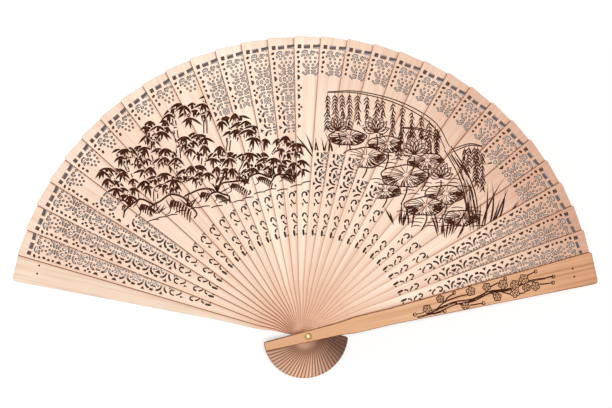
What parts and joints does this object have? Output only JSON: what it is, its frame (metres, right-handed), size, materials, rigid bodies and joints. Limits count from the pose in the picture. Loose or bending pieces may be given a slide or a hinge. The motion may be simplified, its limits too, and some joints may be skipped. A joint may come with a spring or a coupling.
{
  "type": "folding hand fan",
  "caption": "Folding hand fan of overlapping pierced wooden sticks between two guards, turning on one brass rivet and bound by a ribbon near the tips.",
  "frame": {"origin": "on the rivet's axis, at the flat end of its tail, level with the back guard's outer face", "axes": "+Z out of the fan's face along the rivet, +X across the open fan towards the front guard, +Y up the middle of the open fan"},
  "size_m": [0.3501, 0.2048, 0.0238],
  "materials": {
    "stick_wood": "pale pinkish wood, fine straight grain, sanded, unvarnished",
    "front_guard_wood": "tan wood with clear grain, waxed",
    "back_guard_wood": "pale wood, sanded",
    "rivet_brass": "polished brass",
    "ribbon_cloth": "thin woven grey ribbon",
    "ink": "dark brown burnt or printed line, matt"
  },
  "bodies": {
    "back_guard": {"back_guard": "back_guard_wood", "rivet_pin": "rivet_brass", "rivet_washer": "rivet_brass", "binding_ribbon": "ribbon_cloth"},
    "stick_01": {"stick_01": "stick_wood"},
    "stick_02": {"stick_02": "stick_wood"},
    "stick_03": {"stick_03": "stick_wood"},
    "stick_04": {"stick_04": "stick_wood"},
    "stick_05": {"stick_05": "stick_wood"},
    "stick_06": {"stick_06": "stick_wood"},
    "stick_07": {"stick_07": "stick_wood"},
    "stick_08": {"stick_08": "stick_wood"},
    "stick_09": {"stick_09": "stick_wood"},
    "stick_10": {"stick_10": "stick_wood"},
    "stick_11": {"stick_11": "stick_wood"},
    "stick_12": {"stick_12": "stick_wood"},
    "stick_13": {"stick_13": "stick_wood"},
    "stick_14": {"stick_14": "stick_wood"},
    "stick_15": {"stick_15": "stick_wood"},
    "stick_16": {"stick_16": "stick_wood"},
    "stick_17": {"stick_17": "stick_wood"},
    "stick_18": {"stick_18": "stick_wood"},
    "stick_19": {"stick_19": "stick_wood"},
    "stick_20": {"stick_20": "stick_wood"},
    "stick_21": {"stick_21": "stick_wood"},
    "stick_22": {"stick_22": "stick_wood"},
    "stick_23": {"stick_23": "stick_wood"},
    "stick_24": {"stick_24": "stick_wood"},
    "stick_25": {"stick_25": "stick_wood"},
    "stick_26": {"stick_26": "stick_wood"},
    "stick_27": {"stick_27": "stick_wood"},
    "stick_28": {"stick_28": "stick_wood"},
    "stick_29": {"stick_29": "stick_wood"},
    "front_guard": {"front_guard": "front_guard_wood"}
  },
  "joints": [
    {"name": "fan_fold", "type": "hinge", "parent": "back_guard", "child": "front_guard", "pos_m": [0, 0, 0], "axis": [0, 0, 1], "range_deg": [0, 153.31], "deforming": ["binding_ribbon"]},
    {"name": "stick_01_turn", "type": "hinge", "parent": "back_guard", "child": "stick_01", "pos_m": [0, 0, 0], "axis": [0, 0, 1], "range_deg": [0, 5.16]},
    {"name": "stick_02_turn", "type": "hinge", "parent": "back_guard", "child": "stick_02", "pos_m": [0, 0, 0], "axis": [0, 0, 1], "range_deg": [0, 10.29]},
    {"name": "stick_03_turn", "type": "hinge", "parent": "back_guard", "child": "stick_03", "pos_m": [0, 0, 0], "axis": [0, 0, 1], "range_deg": [0, 15.43]},
    {"name": "stick_04_turn", "type": "hinge", "parent": "back_guard", "child": "stick_04", "pos_m": [0, 0, 0], "axis": [0, 0, 1], "range_deg": [0, 20.56]},
    {"name": "stick_05_turn", "type": "hinge", "parent": "back_guard", "child": "stick_05", "pos_m": [0, 0, 0], "axis": [0, 0, 1], "range_deg": [0, 25.7]},
    {"name": "stick_06_turn", "type": "hinge", "parent": "back_guard", "child": "stick_06", "pos_m": [0, 0, 0], "axis": [0, 0, 1], "range_deg": [0, 30.83]},
    {"name": "stick_07_turn", "type": "hinge", "parent": "back_guard", "child": "stick_07", "pos_m": [0, 0, 0], "axis": [0, 0, 1], "range_deg": [0, 35.97]},
    {"name": "stick_08_turn", "type": "hinge", "parent": "back_guard", "child": "stick_08", "pos_m": [0, 0, 0], "axis": [0, 0, 1], "range_deg": [0, 41.1]},
    {"name": "stick_09_turn", "type": "hinge", "parent": "back_guard", "child": "stick_09", "pos_m": [0, 0, 0], "axis": [0, 0, 1], "range_deg": [0, 46.23]},
    {"name": "stick_10_turn", "type": "hinge", "parent": "back_guard", "child": "stick_10", "pos_m": [0, 0, 0], "axis": [0, 0, 1], "range_deg": [0, 51.37]},
    {"name": "stick_11_turn", "type": "hinge", "parent": "back_guard", "child": "stick_11", "pos_m": [0, 0, 0], "axis": [0, 0, 1], "range_deg": [0, 56.51]},
    {"name": "stick_12_turn", "type": "hinge", "parent": "back_guard", "child": "stick_12", "pos_m": [0, 0, 0], "axis": [0, 0, 1], "range_deg": [0, 61.64]},
    {"name": "stick_13_turn", "type": "hinge", "parent": "back_guard", "child": "stick_13", "pos_m": [0, 0, 0], "axis": [0, 0, 1], "range_deg": [0, 66.78]},
    {"name": "stick_14_turn", "type": "hinge", "parent": "back_guard", "child": "stick_14", "pos_m": [0, 0, 0], "axis": [0, 0, 1], "range_deg": [0, 71.91]},
    {"name": "stick_15_turn", "type": "hinge", "parent": "back_guard", "child": "stick_15", "pos_m": [0, 0, 0], "axis": [0, 0, 1], "range_deg": [0, 77.05]},
    {"name": "stick_16_turn", "type": "hinge", "parent": "back_guard", "child": "stick_16", "pos_m": [0, 0, 0], "axis": [0, 0, 1], "range_deg": [0, 82.18]},
    {"name": "stick_17_turn", "type": "hinge", "parent": "back_guard", "child": "stick_17", "pos_m": [0, 0, 0], "axis": [0, 0, 1], "range_deg": [0, 87.31]},
    {"name": "stick_18_turn", "type": "hinge", "parent": "back_guard", "child": "stick_18", "pos_m": [0, 0, 0], "axis": [0, 0, 1], "range_deg": [0, 92.45]},
    {"name": "stick_19_turn", "type": "hinge", "parent": "back_guard", "child": "stick_19", "pos_m": [0, 0, 0], "axis": [0, 0, 1], "range_deg": [0, 97.58]},
    {"name": "stick_20_turn", "type": "hinge", "parent": "back_guard", "child": "stick_20", "pos_m": [0, 0, 0], "axis": [0, 0, 1], "range_deg": [0, 102.72]},
    {"name": "stick_21_turn", "type": "hinge", "parent": "back_guard", "child": "stick_21", "pos_m": [0, 0, 0], "axis": [0, 0, 1], "range_deg": [0, 107.86]},
    {"name": "stick_22_turn", "type": "hinge", "parent": "back_guard", "child": "stick_22", "pos_m": [0, 0, 0], "axis": [0, 0, 1], "range_deg": [0, 112.99]},
    {"name": "stick_23_turn", "type": "hinge", "parent": "back_guard", "child": "stick_23", "pos_m": [0, 0, 0], "axis": [0, 0, 1], "range_deg": [0, 118.12]},
    {"name": "stick_24_turn", "type": "hinge", "parent": "back_guard", "child": "stick_24", "pos_m": [0, 0, 0], "axis": [0, 0, 1], "range_deg": [0, 123.26]},
    {"name": "stick_25_turn", "type": "hinge", "parent": "back_guard", "child": "stick_25", "pos_m": [0, 0, 0], "axis": [0, 0, 1], "range_deg": [0, 128.4]},
    {"name": "stick_26_turn", "type": "hinge", "parent": "back_guard", "child": "stick_26", "pos_m": [0, 0, 0], "axis": [0, 0, 1], "range_deg": [0, 133.53]},
    {"name": "stick_27_turn", "type": "hinge", "parent": "back_guard", "child": "stick_27", "pos_m": [0, 0, 0], "axis": [0, 0, 1], "range_deg": [0, 138.66]},
    {"name": "stick_28_turn", "type": "hinge", "parent": "back_guard", "child": "stick_28", "pos_m": [0, 0, 0], "axis": [0, 0, 1], "range_deg": [0, 143.8]},
    {"name": "stick_29_turn", "type": "hinge", "parent": "back_guard", "child": "stick_29", "pos_m": [0, 0, 0], "axis": [0, 0, 1], "range_deg": [0, 148.94]}
  ],
  "couplings": [
    {"joint": "stick_01_turn", "follows": "fan_fold", "ratio": 0.033493},
    {"joint": "stick_02_turn", "follows": "fan_fold", "ratio": 0.066986},
    {"joint": "stick_03_turn", "follows": "fan_fold", "ratio": 0.10048},
    {"joint": "stick_04_turn", "follows": "fan_fold", "ratio": 0.13397},
    {"joint": "stick_05_turn", "follows": "fan_fold", "ratio": 0.16747},
    {"joint": "stick_06_turn", "follows": "fan_fold", "ratio": 0.20096},
    {"joint": "stick_07_turn", "follows": "fan_fold", "ratio": 0.23445},
    {"joint": "stick_08_turn", "follows": "fan_fold", "ratio": 0.26795},
    {"joint": "stick_09_turn", "follows": "fan_fold", "ratio": 0.30144},
    {"joint": "stick_10_turn", "follows": "fan_fold", "ratio": 0.33493},
    {"joint": "stick_11_turn", "follows": "fan_fold", "ratio": 0.36842},
    {"joint": "stick_12_turn", "follows": "fan_fold", "ratio": 0.40192},
    {"joint": "stick_13_turn", "follows": "fan_fold", "ratio": 0.43541},
    {"joint": "stick_14_turn", "follows": "fan_fold", "ratio": 0.4689},
    {"joint": "stick_15_turn", "follows": "fan_fold", "ratio": 0.5024},
    {"joint": "stick_16_turn", "follows": "fan_fold", "ratio": 0.53589},
    {"joint": "stick_17_turn", "follows": "fan_fold", "ratio": 0.56938},
    {"joint": "stick_18_turn", "follows": "fan_fold", "ratio": 0.60288},
    {"joint": "stick_19_turn", "follows": "fan_fold", "ratio": 0.63637},
    {"joint": "stick_20_turn", "follows": "fan_fold", "ratio": 0.66986},
    {"joint": "stick_21_turn", "follows": "fan_fold", "ratio": 0.70336},
    {"joint": "stick_22_turn", "follows": "fan_fold", "ratio": 0.73685},
    {"joint": "stick_23_turn", "follows": "fan_fold", "ratio": 0.77034},
    {"joint": "stick_24_turn", "follows": "fan_fold", "ratio": 0.80384},
    {"joint": "stick_25_turn", "follows": "fan_fold", "ratio": 0.83733},
    {"joint": "stick_26_turn", "follows": "fan_fold", "ratio": 0.87082},
    {"joint": "stick_27_turn", "follows": "fan_fold", "ratio": 0.90431},
    {"joint": "stick_28_turn", "follows": "fan_fold", "ratio": 0.93781},
    {"joint": "stick_29_turn", "follows": "fan_fold", "ratio": 0.9713}
  ]
}
